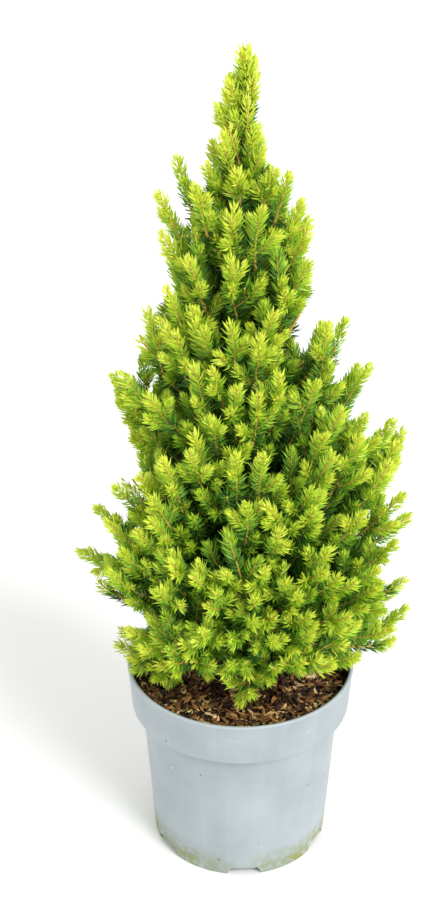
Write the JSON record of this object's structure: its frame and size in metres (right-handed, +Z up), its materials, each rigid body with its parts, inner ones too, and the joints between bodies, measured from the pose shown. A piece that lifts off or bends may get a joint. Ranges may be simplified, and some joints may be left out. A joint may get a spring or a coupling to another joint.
{
  "type": "potted rainbows end white spruce",
  "caption": "Young cone-shaped white spruce with dense upright shoots, in a round tapered nursery pot with a deep rim band. It stands on the pot's flat foot.",
  "frame": {"origin": "centre of the pot's flat underside", "axes": "+Z up along the trunk, -Y towards the side that the plant is seen from, +X to the right of that view"},
  "size_m": [0.314, 0.2981, 0.79],
  "materials": {
    "pot_plastic": "matt, slightly weathered",
    "bark_compost": "rough bark chips",
    "bark": "thin scaly bark",
    "needles": "waxy needles"
  },
  "bodies": {
    "root": {"collar_mass_1": "needles", "collar_mass_2": "needles", "high_mass_1": "needles", "high_mass_2": "needles", "high_mass_3": "needles", "high_mass_4": "needles", "low_bough_1": "bark", "low_bough_2": "bark", "low_bough_3": "bark", "low_bough_4": "bark", "low_bough_5": "bark", "low_bough_6": "bark", "low_mass_1": "needles", "low_mass_2": "needles", "low_mass_3": "needles", "low_mass_4": "needles", "low_mass_5": "needles", "low_mass_6": "needles", "lower_mid_bough_1": "bark", "lower_mid_bough_2": "bark", "lower_mid_bough_3": "bark", "lower_mid_bough_4": "bark", "lower_mid_bough_5": "bark", "lower_mid_mass_1": "needles", "lower_mid_mass_2": "needles", "lower_mid_mass_3": "needles", "lower_mid_mass_4": "needles", "lower_mid_mass_5": "needles", "mid_mass_1": "needles", "mid_mass_2": "needles", "mid_mass_3": "needles", "mid_mass_4": "needles", "mid_mass_5": "needles", "neck_mass_1": "needles", "neck_mass_2": "needles", "neck_mass_3": "needles", "neck_mass_4": "needles", "pot": "pot_plastic", "shoulder_mass_1": "needles", "shoulder_mass_2": "needles", "shoulder_mass_3": "needles", "shoulder_mass_4": "needles", "skirt_bough_1": "bark", "skirt_bough_2": "bark", "skirt_bough_3": "bark", "skirt_bough_4": "bark", "skirt_bough_5": "bark", "skirt_mass_1": "needles", "skirt_mass_2": "needles", "skirt_mass_3": "needles", "skirt_mass_4": "needles", "skirt_mass_5": "needles", "soil": "bark_compost", "tip_mass": "needles", "trunk": "bark", "upper_mid_mass_1": "needles", "upper_mid_mass_2": "needles", "upper_mid_mass_3": "needles", "upper_mid_mass_4": "needles", "upper_mid_mass_5": "needles"}
  },
  "joints": []
}
